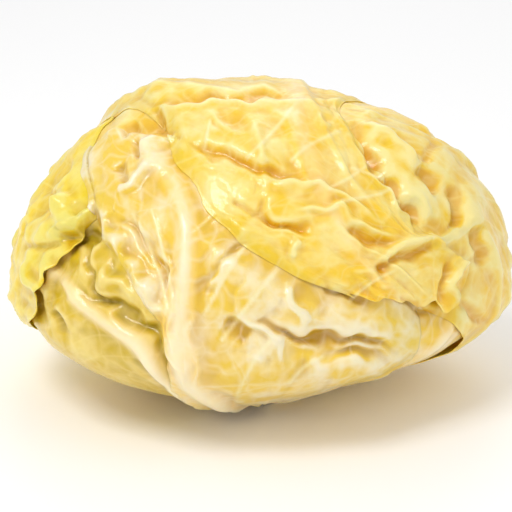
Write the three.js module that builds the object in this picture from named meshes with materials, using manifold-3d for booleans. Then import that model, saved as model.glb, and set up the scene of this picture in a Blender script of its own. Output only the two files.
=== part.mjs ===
// A whole pickled head of white cabbage, wilted and lying on its side, in millimetres.
// The viewer's side is -Y, the head's width runs along X and +Z is up.
// The head stands on its flattened underside at Z = 0, and the origin is the centre of that flat.
// Every leaf is a thin shell between two surfaces that are given as distances from the head's middle,
// so that the leaves lie over each other in one strict order, like the coats of an onion.
import * as THREE from "three";
import { mergeVertices } from "three/addons/utils/BufferGeometryUtils.js";
import Module from "manifold-3d";

const wasm = await Module();
wasm.setup();

// Driving dimensions of the head
const HALF_WIDTH = 113;
const HALF_DEPTH = 99;
const RISE = 97; // from the widest level up to the crown
const BELLY = 49; // from the widest level down, before the weight flattens it
const MIDDLE_HEIGHT = 46; // height of the widest level above the surface
const CROWN_ROUNDNESS = 2.0; // exponent of the upper half's outline, where 2 is an ellipse
const BELLY_ROUNDNESS = 1.6; // the lower half draws in like a blunt cone

// Driving dimensions of the leaves
const LEAF_PITCH = 2.7; // from one leaf's outer face to the next one's
const LEAF_THICKNESS = 1.2;
const CLEARANCE = 0.7; // left free between two leaves wherever they come close
const COVER_START = 0.8; // degrees past a margin up to which the leaf below is fully covered
const COVER_FADE = 9; // degrees past a margin from which the leaf below is bare
const EDGE_THINNING = 0.35; // share of the thickness that a leaf loses towards its margins
const THINNING_START = 0.6; // shares of the way from the rib to the margin where the leaf starts
const FLARE_START = 0.55; // to thin out and to stand off the leaf below
const FLARE_RIPPLE = { share: 0.35, turns: 46, slant: 2 }; // the waves along a flared margin
const RIB_NARROWING = 0.6; // shares of its width and height that a rib loses towards the tip
const RIB_LOWERING = 0.8;
const HEART_GAP = 1; // left free all round the packed inner head
const HEART_SEGMENTS = [36, 20];

// Waves of the surface away from the front, in millimetres
const PLEAT_HEIGHT = 1.6; // pleats that run from the stem towards the tips
const PLEAT_COUNT = 9; // once round the head
const SWELL_HEIGHT = 2.2; // low rounded swells between them
const FRONT_CALM = 0.75; // share of both that is missing where the front sketch applies
const FRONT_FADE = [0.05, 0.35]; // how squarely a place faces the viewer where the sketch fades in

// Driving dimensions of the stem
const STEM_AZIMUTH = -11;
const STEM_ELEVATION = -48;
const STEM_RADIUS = 13;
const STEM_TAPER = 0.85; // its inner end's radius as a share of the cut face's
const STEM_LENGTH = 24;
const STEM_SIDES = 24;
const STEM_RECESS = 8; // how far its cut face lies inside the ring of leaf bases

// The front sketch that the folds are drawn on, and where the viewer stands
const SKETCH_UNIT = 240 / 508; // millimetres to one unit of the front sketch
const SKETCH_CENTRE = [257, 256]; // the sketch's point that the viewer looks at
const VIEW_HEIGHT = 62; // height above the surface of that point
const VIEW_ELEVATION = 20;
const VIEW_DISTANCE = 800;

const WET_ROUGHNESS = 0.35;
const STEM_COLOUR = 0xefe6c4;
const INNER_COLOUR = 0xefe0a8;

const RAD = Math.PI / 180;
const ARC = 1.7; // millimetres to a degree over the head's surface
const MARGIN_STEPS = 60; // points along each side of a leaf's margin and along its rib
const TIP_STEPS = 8; // points across its tip and its root
const WELD = 1e-3; // points closer than this are one
const FAR_SIDE = 1e-3; // keeps the map round a leaf's centre finite on the far side of the head
const middle = new THREE.Vector3(0, 0, MIDDLE_HEIGHT);
const offAxis = new THREE.Vector3(0.31, 0.17, 0.94); // a direction that is no leaf's centre

// Azimuth 0 is the viewer's side and 90 the viewer's right. Elevation is above the widest level.
function direction(azimuth, elevation) {
  const level = Math.cos(elevation * RAD);
  return new THREE.Vector3(
    Math.sin(azimuth * RAD) * level,
    -Math.cos(azimuth * RAD) * level,
    Math.sin(elevation * RAD),
  );
}

// 0 below low, 1 above high and a soft step between them.
function smoothstep(low, high, x) {
  const t = Math.min(1, Math.max(0, (x - low) / (high - low)));
  return t * t * (3 - 2 * t);
}

const stemDirection = direction(STEM_AZIMUTH, STEM_ELEVATION);

// Where the head bulges or draws in from its plain shape, with reach in degrees and lift in millimetres.
const LOBES = [
  { at: "right side", towards: direction(92, 14), reach: 36, lift: 6 },
  { at: "left shoulder", towards: direction(-100, 58), reach: 26, lift: 6 },
  { at: "lower right front", towards: direction(46, -16), reach: 30, lift: -9 },
];

// Leaves from the outermost inwards. Each station, from root to tip, gives the rib and both margins
// as azimuth and elevation, and flare is how far the margins stand off there, in millimetres.
const LEAVES = [
  {
    name: "leaf_top",
    colour: 0xf3d468,
    grid: [30, 22],
    rib: 3,
    ribWidth: 7,
    stations: [
      { rib: [-12, -60], left: [4, -57], right: [-30, -57] },
      { rib: [170, -78], left: [90, -64], right: [-110, -64] },
      { rib: [168, -30], left: [128, -32], right: [-146, -32] },
      { rib: [168, 8], left: [128, 2], right: [-128, 6] },
      { rib: [165, 46], left: [122, 44], right: [-104, 42] },
      { rib: [60, 78], left: [70, 66], right: [-72, 60] },
      { rib: [24, 56], left: [50, 40], right: [-30, 50] },
      { rib: [22, 38], left: [52, 27], right: [-12, 37] },
      { rib: [32, 23], left: [61, 15], right: [8, 25], flare: [1, 0] },
      { rib: [40, 12], left: [54, 6], right: [26, 16], flare: [2, 1] },
    ],
  },
  {
    name: "leaf_front",
    colour: 0xf2dfa0,
    grid: [28, 24],
    rib: 5,
    ribWidth: 6.5,
    stations: [
      { rib: [-11, -37], left: [-25, -42], right: [3, -42] },
      { rib: [-13, -22], left: [-22, -24], right: [14, -33] },
      { rib: [-16, -6], left: [-22, -8], right: [28, -25] },
      { rib: [-18, 8], left: [-23, 6], right: [42, -16], flare: [0, 1] },
      { rib: [-20, 22], left: [-34, 19], right: [46, 0] },
      { rib: [-24, 38], left: [-54, 32], right: [44, 26] },
      { rib: [-38, 50], left: [-76, 42], right: [10, 46] },
      { rib: [-56, 56], left: [-80, 52], right: [-36, 58] },
    ],
  },
  {
    name: "leaf_outer_left",
    colour: 0xf0cf3e,
    grid: [24, 18],
    rib: 3,
    ribWidth: 7,
    stations: [
      { rib: [-30, -52], left: [-34, -58], right: [-30, -45] },
      { rib: [-80, -54], left: [-120, -64], right: [-64, -44] },
      { rib: [-104, -20], left: [-150, -28], right: [-84, -16] },
      { rib: [-110, 2], left: [-156, -2], right: [-64, 4], flare: [0, 1] },
      { rib: [-112, 18], left: [-158, 16], right: [-57, 20], flare: [0, 2] },
      { rib: [-114, 34], left: [-156, 36], right: [-56, 34], flare: [0, 3] },
      { rib: [-118, 48], left: [-150, 54], right: [-76, 43], flare: [0, 1] },
      { rib: [-122, 60], left: [-138, 66], right: [-104, 54] },
    ],
  },
  {
    name: "leaf_left",
    colour: 0xe6c860,
    grid: [22, 18],
    rib: 5,
    ribWidth: 6,
    stations: [
      { rib: [-25, -42], left: [-30, -49], right: [-20, -37] },
      { rib: [-22, -19], left: [-42, -38], right: [-17, -12] },
      { rib: [-25, 0], left: [-52, -28], right: [-18, 8] },
      { rib: [-36, 8], left: [-60, -18], right: [-24, 22] },
      { rib: [-49, 11], left: [-70, -12], right: [-36, 32] },
      { rib: [-63, 14], left: [-84, -2], right: [-56, 38] },
      { rib: [-84, 20], left: [-94, 8], right: [-78, 36] },
    ],
  },
  {
    name: "leaf_right",
    colour: 0xf3d57c,
    grid: [22, 18],
    rib: 3,
    ribWidth: 7,
    stations: [
      { rib: [5, -53], left: [5, -45], right: [2, -60] },
      { rib: [84, -55], left: [46, -38], right: [130, -60] },
      { rib: [106, -14], left: [70, -11], right: [150, -26], flare: [1, 0] },
      { rib: [108, 14], left: [46, 12], right: [158, 6] },
      { rib: [104, 40], left: [36, 42], right: [160, 36] },
      { rib: [92, 62], left: [30, 62], right: [150, 62] },
      { rib: [60, 76], left: [38, 74], right: [100, 78] },
    ],
  },
  {
    name: "leaf_lower_right",
    colour: 0xf0dca0,
    grid: [18, 14],
    rib: 3,
    ribWidth: 7,
    stations: [
      { rib: [1, -44], left: [-2, -38], right: [5, -50] },
      { rib: [30, -30], left: [20, -12], right: [44, -50] },
      { rib: [48, -8], left: [36, 14], right: [66, -24], flare: [0, 2] },
      { rib: [60, 8], left: [46, 22], right: [78, -6] },
      { rib: [72, 20], left: [62, 28], right: [82, 12] },
    ],
  },
  {
    name: "leaf_crown",
    colour: 0xf3d26a,
    grid: [20, 18],
    rib: 3,
    ribWidth: 7,
    stations: [
      { rib: [-34, -50], left: [-44, -57], right: [-28, -43] },
      { rib: [-112, -46], left: [-160, -54], right: [-76, -38] },
      { rib: [-118, -2], left: [-172, -4], right: [-70, 0] },
      { rib: [-116, 34], left: [-178, 36], right: [-58, 26] },
      { rib: [-104, 62], left: [178, 66], right: [-40, 44] },
      { rib: [-10, 80], left: [110, 70], right: [-22, 56] },
      { rib: [28, 66], left: [50, 66], right: [4, 62] },
    ],
  },
];

// Broad folds of the wilted leaves, drawn on a sketch of the head's front that is 512 units across.
// The points run along the fold, reach is its half width in sketch units and lift is in millimetres.
const FOLD_REACH = 12; // where a fold gives none
const FOLDS = [
  { at: "hollow beside the rib", path: [[215, 332], [246, 328]], reach: 15, lift: -4 },
  { at: "crease above the low bulge", path: [[262, 322], [292, 338], [330, 344], [395, 351]], lift: -6 },
  { at: "low bulge", path: [[255, 362], [300, 368], [350, 366], [396, 356]], reach: 19, lift: 4 },
  { at: "right groove", path: [[357, 124], [380, 158], [402, 190], [426, 224]], lift: -7 },
  { at: "ridge past the groove", path: [[374, 134], [404, 162], [424, 200], [432, 218]], lift: 4 },
  { at: "pocket on the right", path: [[420, 164], [434, 182], [446, 190]], lift: -6 },
  { at: "long pocket on the right", path: [[456, 178], [453, 205], [457, 232]], lift: -6 },
  { at: "top crease", path: [[185, 138], [215, 150], [250, 163], [300, 179]], lift: -5 },
  { at: "swell below the top crease", path: [[255, 174], [310, 184], [345, 197], [392, 226]], lift: 4 },
  { at: "middle crease", path: [[235, 206], [265, 216], [312, 231]], lift: -5 },
  { at: "right crease", path: [[345, 207], [364, 226], [400, 236]], lift: -4 },
  { at: "ridge into the right flap", path: [[378, 274], [410, 256], [440, 246], [466, 232]], lift: 5 },
  { at: "dip over that ridge", path: [[350, 244], [374, 252]], lift: -3 },
  { at: "crumpled patch", path: [[312, 262], [330, 282]], reach: 15, lift: -4 },
  { at: "left rib valley", path: [[85, 292], [112, 303], [145, 316], [164, 334]], reach: 13, lift: -3.5 },
  { at: "left swell", path: [[98, 272], [125, 285], [152, 308]], reach: 14, lift: 5 },
  { at: "hollow under the left lip", path: [[64, 240], [80, 236], [94, 222]], lift: -8 },
  { at: "upper left valley", path: [[124, 213], [140, 228], [154, 247], [168, 262]], lift: -2.5 },
  { at: "left margin ridge", path: [[95, 195], [106, 226], [128, 258], [152, 292]], reach: 13, lift: 2.5 },
  { at: "groove under the rim", path: [[140, 98], [160, 103], [192, 98], [226, 97]], lift: -4 },
  { at: "notch below the rim", path: [[157, 104], [157, 130]], lift: -4 },
  { at: "shoulder crease", path: [[116, 131], [140, 118]], lift: -4 },
  { at: "shoulder dimple", path: [[132, 140], [143, 158]], lift: -3 },
  { at: "left shoulder hollow", path: [[120, 164], [128, 182]], lift: -4 },
];

const viewForward = new THREE.Vector3(
  0,
  Math.cos(VIEW_ELEVATION * RAD),
  -Math.sin(VIEW_ELEVATION * RAD),
);
const viewUp = new THREE.Vector3(
  0,
  Math.sin(VIEW_ELEVATION * RAD),
  Math.cos(VIEW_ELEVATION * RAD),
);
const viewPoint = new THREE.Vector3(0, 0, VIEW_HEIGHT).addScaledVector(
  viewForward,
  -VIEW_DISTANCE,
);

// Where a point of the head lies on the front sketch.
function onSketch(point) {
  const from = point.clone().sub(viewPoint);
  const scale = VIEW_DISTANCE / from.dot(viewForward) / SKETCH_UNIT;
  return [
    SKETCH_CENTRE[0] + from.x * scale,
    SKETCH_CENTRE[1] - from.dot(viewUp) * scale,
  ];
}

// Distance from the middle to the plain, uncreased head, before the weight flattens it.
function plainRadius(d) {
  const level = Math.hypot(d.x / HALF_WIDTH, d.y / HALF_DEPTH);
  const roundness = d.z >= 0 ? CROWN_ROUNDNESS : BELLY_ROUNDNESS;
  const upright = Math.abs(d.z) / (d.z >= 0 ? RISE : BELLY);
  let radius = (level ** roundness + upright ** roundness) ** (-1 / roundness);
  for (const { towards, reach, lift } of LOBES)
    radius += lift * Math.exp(-((towards.angleTo(d) / RAD / reach) ** 2));
  return radius;
}

// Distance on the sketch from a place to the nearest point of a fold.
function distanceToPath([x, y], path) {
  let nearest = Infinity;
  for (let i = 1; i < path.length; i++) {
    const [ax, ay] = path[i - 1];
    const dx = path[i][0] - ax;
    const dy = path[i][1] - ay;
    const along = ((x - ax) * dx + (y - ay) * dy) / (dx * dx + dy * dy);
    const t = Math.min(1, Math.max(0, along));
    nearest = Math.min(nearest, Math.hypot(x - ax - t * dx, y - ay - t * dy));
  }
  return nearest;
}

// How far the folds lift the surface in a direction: the sketched ones on the front, and waves elsewhere.
function foldLift(d) {
  const point = d.clone().multiplyScalar(plainRadius(d)).add(middle);
  const facing = smoothstep(...FRONT_FADE, -d.dot(viewForward));
  const place = onSketch(point);
  let sketched = 0;
  for (const { path, reach = FOLD_REACH, lift } of FOLDS)
    sketched += lift * Math.exp(-((distanceToPath(place, path) / reach) ** 2));
  const turn = Math.atan2(d.x, -d.y);
  const warp = 0.9 * Math.sin(3.1 * d.z + 2 * d.x) + 0.7 * Math.sin(4.3 * d.y - 1.7 * d.z);
  const pleats = Math.sin(PLEAT_COUNT * turn + 3 * warp) * (1 - d.z * d.z);
  const swells = Math.sin(7 * d.z + 4 * d.x + 2 * warp) * Math.sin(6 * d.y + 5 * d.x - warp);
  const waves = PLEAT_HEIGHT * pleats + SWELL_HEIGHT * swells;
  return facing * sketched + (1 - FRONT_CALM * facing) * waves;
}

// A smooth curve through directions, at t from 0 to 1.
function along(directions, t) {
  const last = directions.length - 1;
  const i = Math.min(last - 1, Math.floor(t * last));
  const f = t * last - i;
  const p = [i - 1, i, i + 1, i + 2].map(
    (k) => directions[Math.min(last, Math.max(0, k))],
  );
  const weights = [
    -f + 2 * f * f - f ** 3,
    2 - 5 * f * f + 3 * f ** 3,
    f + 4 * f * f - 3 * f ** 3,
    -f * f + f ** 3,
  ];
  const sum = new THREE.Vector3();
  p.forEach((q, k) => sum.addScaledVector(q, weights[k] / 2));
  return sum.normalize();
}

// The direction a share t of the way from a to b.
function between(a, b, t) {
  const angle = a.angleTo(b);
  if (angle < 1e-6) return a.clone();
  return a
    .clone()
    .multiplyScalar(Math.sin((1 - t) * angle))
    .addScaledVector(b, Math.sin(t * angle))
    .normalize();
}

// Adds to each leaf its curves over the head and its closed margin.
for (const leaf of LEAVES) {
  for (const side of ["rib", "left", "right"])
    leaf[side + "Line"] = leaf.stations.map((s) => direction(...s[side]));
  const steps = Array.from({ length: MARGIN_STEPS + 1 }, (_, i) => i / MARGIN_STEPS);
  const tip = Array.from({ length: TIP_STEPS }, (_, i) => (i + 1) / (TIP_STEPS + 1));
  const last = leaf.stations.length - 1;
  leaf.margin = [
    ...steps.map((t) => along(leaf.leftLine, t)),
    ...tip.map((t) => between(leaf.leftLine[last], leaf.rightLine[last], t)),
    ...steps.map((t) => along(leaf.rightLine, 1 - t)),
    ...tip.map((t) => between(leaf.rightLine[0], leaf.leftLine[0], t)),
  ];
  leaf.ribPoints = steps.map((t) => along(leaf.ribLine, t));
  leaf.centre = leaf.ribPoints
    .reduce((sum, p) => sum.add(p), new THREE.Vector3())
    .normalize();
  leaf.across = offAxis.clone().cross(leaf.centre).normalize();
  leaf.upright = leaf.centre.clone().cross(leaf.across);
  leaf.outline = leaf.margin.map((p) => flatten(leaf, p));
}

// A map of the head around a leaf's centre, on which its margin is a plain closed outline.
function flatten(leaf, d) {
  const scale = 1 / (1 + d.dot(leaf.centre) + FAR_SIDE);
  return [d.dot(leaf.across) * scale, d.dot(leaf.upright) * scale];
}

// Degrees from a direction to a leaf's margin, negative inside the leaf.
function pastMargin(leaf, d) {
  const [x, y] = flatten(leaf, d);
  let inside = false;
  leaf.outline.forEach(([ax, ay], i) => {
    const [bx, by] = leaf.outline[(i + 1) % leaf.outline.length];
    if (ay > y !== by > y && x < ax + ((y - ay) / (by - ay)) * (bx - ax)) inside = !inside;
  });
  const nearest = Math.max(...leaf.margin.map((p) => p.dot(d)));
  const angle = Math.acos(Math.min(1, nearest)) / RAD;
  return inside ? -angle : angle;
}

// 1 where a leaf covers what lies below it, falling to 0 past its margin.
function coverOf(leaf, d) {
  return 1 - smoothstep(COVER_START, COVER_FADE, pastMargin(leaf, d));
}

// The rib stands out of the leaf's back as a rounded band that narrows towards the tip.
function ribLift(leaf, d) {
  let best = 0;
  leaf.ribPoints.forEach((p, i) => {
    const t = i / MARGIN_STEPS;
    const away = (p.angleTo(d) / RAD) * ARC;
    const width = leaf.ribWidth * (1 - RIB_NARROWING * t);
    const height = leaf.rib * (1 - RIB_LOWERING * t);
    best = Math.max(best, height * Math.exp(-((away / width) ** 2)));
  });
  return best;
}

// The outer surface of everything from leaf number k inwards, as a distance from the middle and as
// the lowest height that the coats below it leave free. k past the last leaf is the inner head.
function coat(k, d) {
  let radius = plainRadius(d) + foldLift(d);
  let coats = 0;
  for (let j = 0; j < k; j++) coats += coverOf(LEAVES[j], d);
  for (let j = k; j < LEAVES.length; j++) radius += ribLift(LEAVES[j], d);
  return { radius: radius - coats * LEAF_PITCH, floor: coats * LEAF_PITCH };
}

// The point at a distance from the middle, held up by the surface below.
function placed(d, radius, floor) {
  const point = d.clone().multiplyScalar(radius).add(middle);
  point.z = Math.max(point.z, floor);
  return point;
}

// The waved edge of a leaf: how far it stands off the coats below, at a place on the leaf.
function edgeLift(leaf, t, v) {
  const last = leaf.stations.length - 1;
  const i = Math.min(last - 1, Math.floor(t * last));
  const f = t * last - i;
  const side = v < 0 ? 0 : 1;
  const [low, high] = [i, i + 1].map((n) => (leaf.stations[n].flare || [0, 0])[side]);
  const flare = low + (high - low) * f;
  const { share, turns, slant } = FLARE_RIPPLE;
  const wave = 1 - share + share * Math.sin(t * turns + v * slant);
  return flare * wave * smoothstep(FLARE_START, 1, Math.abs(v));
}

// A grid of points over one face of a leaf, from root to tip and from margin to margin.
function faceGrid(k, inner) {
  const leaf = LEAVES[k];
  const [rows, columns] = leaf.grid;
  const points = [];
  for (let i = 0; i <= rows; i++) {
    const t = i / rows;
    const rib = along(leaf.ribLine, t);
    const margins = [along(leaf.leftLine, t), along(leaf.rightLine, t)];
    for (let j = 0; j <= columns; j++) {
      const v = (2 * j) / columns - 1;
      const d = between(rib, margins[v < 0 ? 0 : 1], Math.abs(v));
      const outside = coat(k, d);
      const lift = edgeLift(leaf, t, v);
      const thinning = EDGE_THINNING * smoothstep(THINNING_START, 1, Math.abs(v));
      const thickness = LEAF_THICKNESS * (1 - thinning);
      const depth = inner ? ribLift(leaf, d) + thickness : 0;
      const floor = outside.floor + (inner ? thickness : 0);
      points.push(placed(d, outside.radius + lift - depth, floor));
    }
  }
  return points;
}

// Swells the two faces of a leaf by an amount on every side, its margin included.
function swell(outer, inner, [rows, columns], amount) {
  const wide = columns + 1;
  const shifts = outer.map((p, n) => p.clone().sub(inner[n]).setLength(amount));
  const sideways = outer.map((p, n) => {
    const i = Math.floor(n / wide);
    const j = n % wide;
    const next = Math.min(rows - 1, Math.max(1, i)) * wide + Math.min(columns - 1, Math.max(1, j));
    return p.clone().sub(outer[next]).setLength(next === n ? 0 : amount);
  });
  outer.forEach((p, n) => p.add(shifts[n]).add(sideways[n]));
  inner.forEach((p, n) => p.sub(shifts[n]).add(sideways[n]));
}

// A closed body from points and triangles, turned to face outwards.
function manifoldOf(points, triangles) {
  const geometry = new THREE.BufferGeometry().setFromPoints(points);
  geometry.setIndex(triangles.flat());
  const merged = mergeVertices(geometry, WELD);
  const make = (index) =>
    new wasm.Manifold(
      new wasm.Mesh({
        numProp: 3,
        vertProperties: merged.attributes.position.array,
        triVerts: index,
      }),
    );
  const index = new Uint32Array(merged.index.array);
  const solid = make(index);
  if (solid.volume() > 0) return solid;
  for (let i = 0; i < index.length; i += 3)
    [index[i + 1], index[i + 2]] = [index[i + 2], index[i + 1]];
  return make(index);
}

// Closes the two faces of a leaf along its margin, and makes it larger on every side by an amount.
function leafSolid(k, swollenBy = 0) {
  const [rows, columns] = LEAVES[k].grid;
  const outer = faceGrid(k, false);
  const inner = faceGrid(k, true);
  if (swollenBy) swell(outer, inner, [rows, columns], swollenBy);
  const wide = columns + 1;
  const shift = outer.length;
  const triangles = [];
  const quad = (a, b, c, d) => triangles.push([a, b, c], [a, c, d]);
  for (let i = 0; i < rows; i++)
    for (let j = 0; j < columns; j++) {
      const a = i * wide + j;
      quad(a, a + 1, a + wide + 1, a + wide);
      triangles.push([shift + a, shift + a + wide + 1, shift + a + 1]);
      triangles.push([shift + a, shift + a + wide, shift + a + wide + 1]);
    }
  const rim = [];
  for (let j = 0; j < columns; j++) rim.push(j);
  for (let i = 0; i < rows; i++) rim.push(i * wide + columns);
  for (let j = columns; j > 0; j--) rim.push(rows * wide + j);
  for (let i = rows; i > 0; i--) rim.push(i * wide);
  rim.forEach((a, n) => {
    const b = rim[(n + 1) % rim.length];
    quad(b, a, shift + a, shift + b);
  });
  return manifoldOf([...outer, ...inner], triangles);
}

// The points and triangles of a ready-made shape, each point listed once.
function pointsAndTriangles(geometry) {
  const bare = mergeVertices(geometry.deleteAttribute("normal").deleteAttribute("uv"));
  const points = [];
  for (let i = 0; i < bare.attributes.position.count; i++)
    points.push(new THREE.Vector3().fromBufferAttribute(bare.attributes.position, i));
  const triangles = [];
  for (let i = 0; i < bare.index.count; i += 3)
    triangles.push([...bare.index.array.slice(i, i + 3)]);
  return { points, triangles };
}

// The packed inner head is one closed body under all the coats.
function heartSolid() {
  const { points, triangles } = pointsAndTriangles(new THREE.SphereGeometry(1, ...HEART_SEGMENTS));
  const packed = points.map((point) => {
    const d = point.clone().normalize();
    const under = coat(LEAVES.length, d);
    return placed(d, under.radius - HEART_GAP, under.floor + HEART_GAP);
  });
  return manifoldOf(packed, triangles);
}

// The stub of the stem, cut flat, in the ring where all the leaves begin.
function stemSolid(swollenBy = 0) {
  const stub = new THREE.CylinderGeometry(
    STEM_RADIUS + swollenBy,
    STEM_RADIUS * STEM_TAPER + swollenBy,
    STEM_LENGTH + 2 * swollenBy,
    STEM_SIDES,
  );
  const aim = new THREE.Quaternion().setFromUnitVectors(new THREE.Vector3(0, 1, 0), stemDirection);
  const end = coat(0, stemDirection).radius - STEM_RECESS;
  const centre = placed(stemDirection, end - STEM_LENGTH / 2, 0);
  stub.applyQuaternion(aim).translate(centre.x, centre.y, centre.z);
  const { points, triangles } = pointsAndTriangles(stub);
  return manifoldOf(points, triangles);
}

// A closed body's mesh as a geometry.
function geometryOf(solid) {
  const { vertProperties, triVerts, numProp } = solid.getMesh();
  const count = vertProperties.length / numProp;
  const positions = new Float32Array(count * 3);
  for (let i = 0; i < count; i++)
    positions.set(vertProperties.subarray(i * numProp, i * numProp + 3), i * 3);
  const geometry = new THREE.BufferGeometry();
  geometry.setAttribute("position", new THREE.BufferAttribute(positions, 3));
  geometry.setIndex(new THREE.BufferAttribute(triVerts, 1));
  geometry.computeVertexNormals();
  return geometry;
}

// A named subcomponent in its own wet, waxy material.
function part(name, solid, color) {
  const material = new THREE.MeshStandardMaterial({ color, roughness: WET_ROUGHNESS, metalness: 0 });
  const mesh = new THREE.Mesh(geometryOf(solid), material);
  mesh.name = name;
  return mesh;
}

// Takes from a body what comes too close to the leaves above it, and drops the loose slivers.
function clearOf(solid, leavesAbove) {
  const rest = wasm.Manifold.difference([solid, ...leavesAbove]);
  return rest.decompose().reduce((a, b) => (a.volume() > b.volume() ? a : b));
}

const cabbage = new THREE.Group();
const grown = [];
LEAVES.forEach((leaf, k) => {
  cabbage.add(part(leaf.name, clearOf(leafSolid(k), grown), leaf.colour));
  grown.push(leafSolid(k, CLEARANCE));
});
cabbage.add(part("stem", clearOf(stemSolid(), grown), STEM_COLOUR));
grown.push(stemSolid(CLEARANCE));
cabbage.add(part("inner_head", clearOf(heartSolid(), grown), INNER_COLOUR));

export default cabbage;
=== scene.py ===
# A wilted, pickled head of white cabbage that lies on its side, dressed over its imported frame.
# Shapes are worked out in millimetres and handed to Blender in metres.
# The viewer's side is -Y, the head's width runs along X and +Z is up.
import math
import bpy
import numpy as np
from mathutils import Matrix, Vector


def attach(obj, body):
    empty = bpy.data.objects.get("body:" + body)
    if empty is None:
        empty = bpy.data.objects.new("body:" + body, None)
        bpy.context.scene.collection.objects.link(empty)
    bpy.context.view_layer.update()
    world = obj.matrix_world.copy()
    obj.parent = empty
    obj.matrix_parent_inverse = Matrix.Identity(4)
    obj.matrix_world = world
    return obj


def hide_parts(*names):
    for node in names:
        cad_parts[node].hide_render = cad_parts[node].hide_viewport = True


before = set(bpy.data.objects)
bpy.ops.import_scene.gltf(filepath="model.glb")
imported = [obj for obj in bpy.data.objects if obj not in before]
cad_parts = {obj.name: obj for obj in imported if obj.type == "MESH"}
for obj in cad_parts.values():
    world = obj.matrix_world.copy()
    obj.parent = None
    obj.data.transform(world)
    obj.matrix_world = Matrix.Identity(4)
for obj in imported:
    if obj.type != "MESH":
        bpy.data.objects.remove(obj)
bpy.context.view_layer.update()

MM = 0.001

# Driving dimensions of the head and the stem, the same as the solids'
HALF_WIDTH = 113.0
HALF_DEPTH = 99.0
RISE = 97.0
BELLY = 49.0
MIDDLE = np.array([0.0, 0.0, 46.0])
CROWN_ROUNDNESS = 2.0
BELLY_ROUNDNESS = 1.6
ARC = 1.7  # millimetres to a degree over the head's surface
HEART_GAP = 1.0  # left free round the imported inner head
STEM_AIM = (-11.0, -48.0)
STEM_RADIUS = 13.0
STEM_LENGTH = 24.0
STEM_RECESS = 8.0
STEM_TAPER = 0.15  # share of its radius that the stem loses towards its inner end

# Finer detail of the inner head and the stem than the solids'
HEART_GRID = (120, 160)
STEM_SPOKES = 48
STEM_LOBES = 0.03  # height of the bulges round it, as a share of its radius

# Leaves, thinner and closer together than the solids' and with a more ragged margin
LEAF_PITCH = 1.4
LEAF_THICKNESS = 0.8
EDGE_THINNING = 0.5
EDGE_START = 0.85  # shares of the way from the rib to the margin where the edge, the flare,
FLARE_START = 0.55  # the frill and the thinning begin
FRILL_START = 0.75
THINNING_START = 0.6
COVER_START = 0.8  # degrees past a margin up to which the leaf below is fully covered
COVER_FADE = 7.0  # degrees past a margin from which the leaf below is bare
MARGIN_STEPS = 60
TIP_STEPS = 8
WAVER = 1.0  # millimetres by which a margin wanders in long waves, and in short ones
FINE_WAVER = 0.15
TIP_WAVER = 0.010  # shares of its length by which a leaf's tip wanders and falls short
TIP_LOSS = 0.02
NARROWEST = 8  # millimetres from the rib, below which a margin wanders less
LEAD = 0.4  # share of a grid's rows that the hidden stretch near the root gets
RIB_NARROWING = 0.6  # shares of its width and height that a rib loses towards the tip
RIB_LOWERING = 0.8
RIB_STIR = 0.014  # radians by which a rib winds
MARGIN_GAP = 0.5  # left between a pressed margin and the leaf below
OFF_AXIS = [0.31, 0.17, 0.94]  # a direction that is no leaf's centre
FAR_SIDE = 1e-3  # keeps the map round a leaf's centre finite on the far side of the head

# Folds, waves and veins
FOLD_DEPTH = 0.75  # factors on the lift and the half width of the drawn folds
FOLD_WIDTH = 1.25
RIPPLE = 0.2  # heights of the ripples and of the swell beside a fold, as shares of its lift
LIP = 0.5
PLEAT_HEIGHT = 1.6  # pleats from the stem towards the tips, away from the front
PLEAT_COUNT = 9
SWELL_HEIGHT = 2.2  # low rounded swells between them
FRONT_CALM = 0.75  # share of both that is missing where the front sketch applies
FRONT_FADE = (0.05, 0.35)  # how squarely a place faces the sketch where it fades in
BACK_TINT = 0.4  # strength of the painted shade in hollows and painted highlight on ridges away from the front
HOLLOW_REACH = (1, 14)  # grid stride and rounds of smoothing, for narrow hollows and for wide ones
DIP_REACH = (8, 3)
SKETCH_STIR = 2.0  # sketch units by which drawn lines wander
VEIN_SPACING = 19.0  # millimetres along the rib
VEIN_SLANT = 0.8  # how far a side vein runs along the rib for each millimetre away from it
VEIN_HEIGHT = 0.35
VEIN_WAVER = 2.5  # millimetres by which side veins wander
VEIN_FADE = (0.45, 0.95)  # shares of the way to the margin between which they fade
FRONT_VEIN_CALM = 0.7  # share of their strength that is missing on the front
FIELD_RADIUS = 100  # turns directions into places, in millimetres, for the random fields

# Ridges and puckers of a leaf's own. Each kind: number of its random field, spread, height, size
# from one ridge to the next in millimetres, and width as a share of that. A pucker's height is negative.
STRETCH = 3.2  # how many times longer than wide drawn-out ridges are
BROAD_RIDGES = (
    (2, "drawn", 1.2, 50, 0.5),
    (3, "drawn", -0.7, 44, 0.5),
    (4, "even", 0.6, 50, 0.5),
    (6, "drawn", 0.2, 14, 0.5),
)
CLOSE_RIDGES = (
    (7, "drawn", 1.1, 30, 0.5),
    (8, "drawn", -0.7, 26, 0.5),
    (9, "even", 1.1, 40, 0.4),
    (10, "even", -0.9, 32, 0.4),
)

# Wilting: growth of the skin, and how far it may sink below and rise above the smooth leaf
GROWTH = 0.010
PULL = 0.8  # share of a stretch's fault that one round puts right
DAMPING = 0.97
SINK = 1.2
SINK_AT_EDGE = 0.6
SWELL = 2.2
SWELL_AT_EDGE = 0.8
FRILL = 0.06  # growth at a margin that is given none of its own
RIB_HOLD = 0.8  # how firmly a rib and a flat edge keep the skin from moving
EDGE_HOLD = 0.85
# Share of the growth that goes along the leaf, across it and diagonally, by grid step
GROWTH_SHARES = {(1, 0): 0.35, (0, 1): 1.0, (1, 1): 0.7, (1, -1): 0.7}
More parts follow.
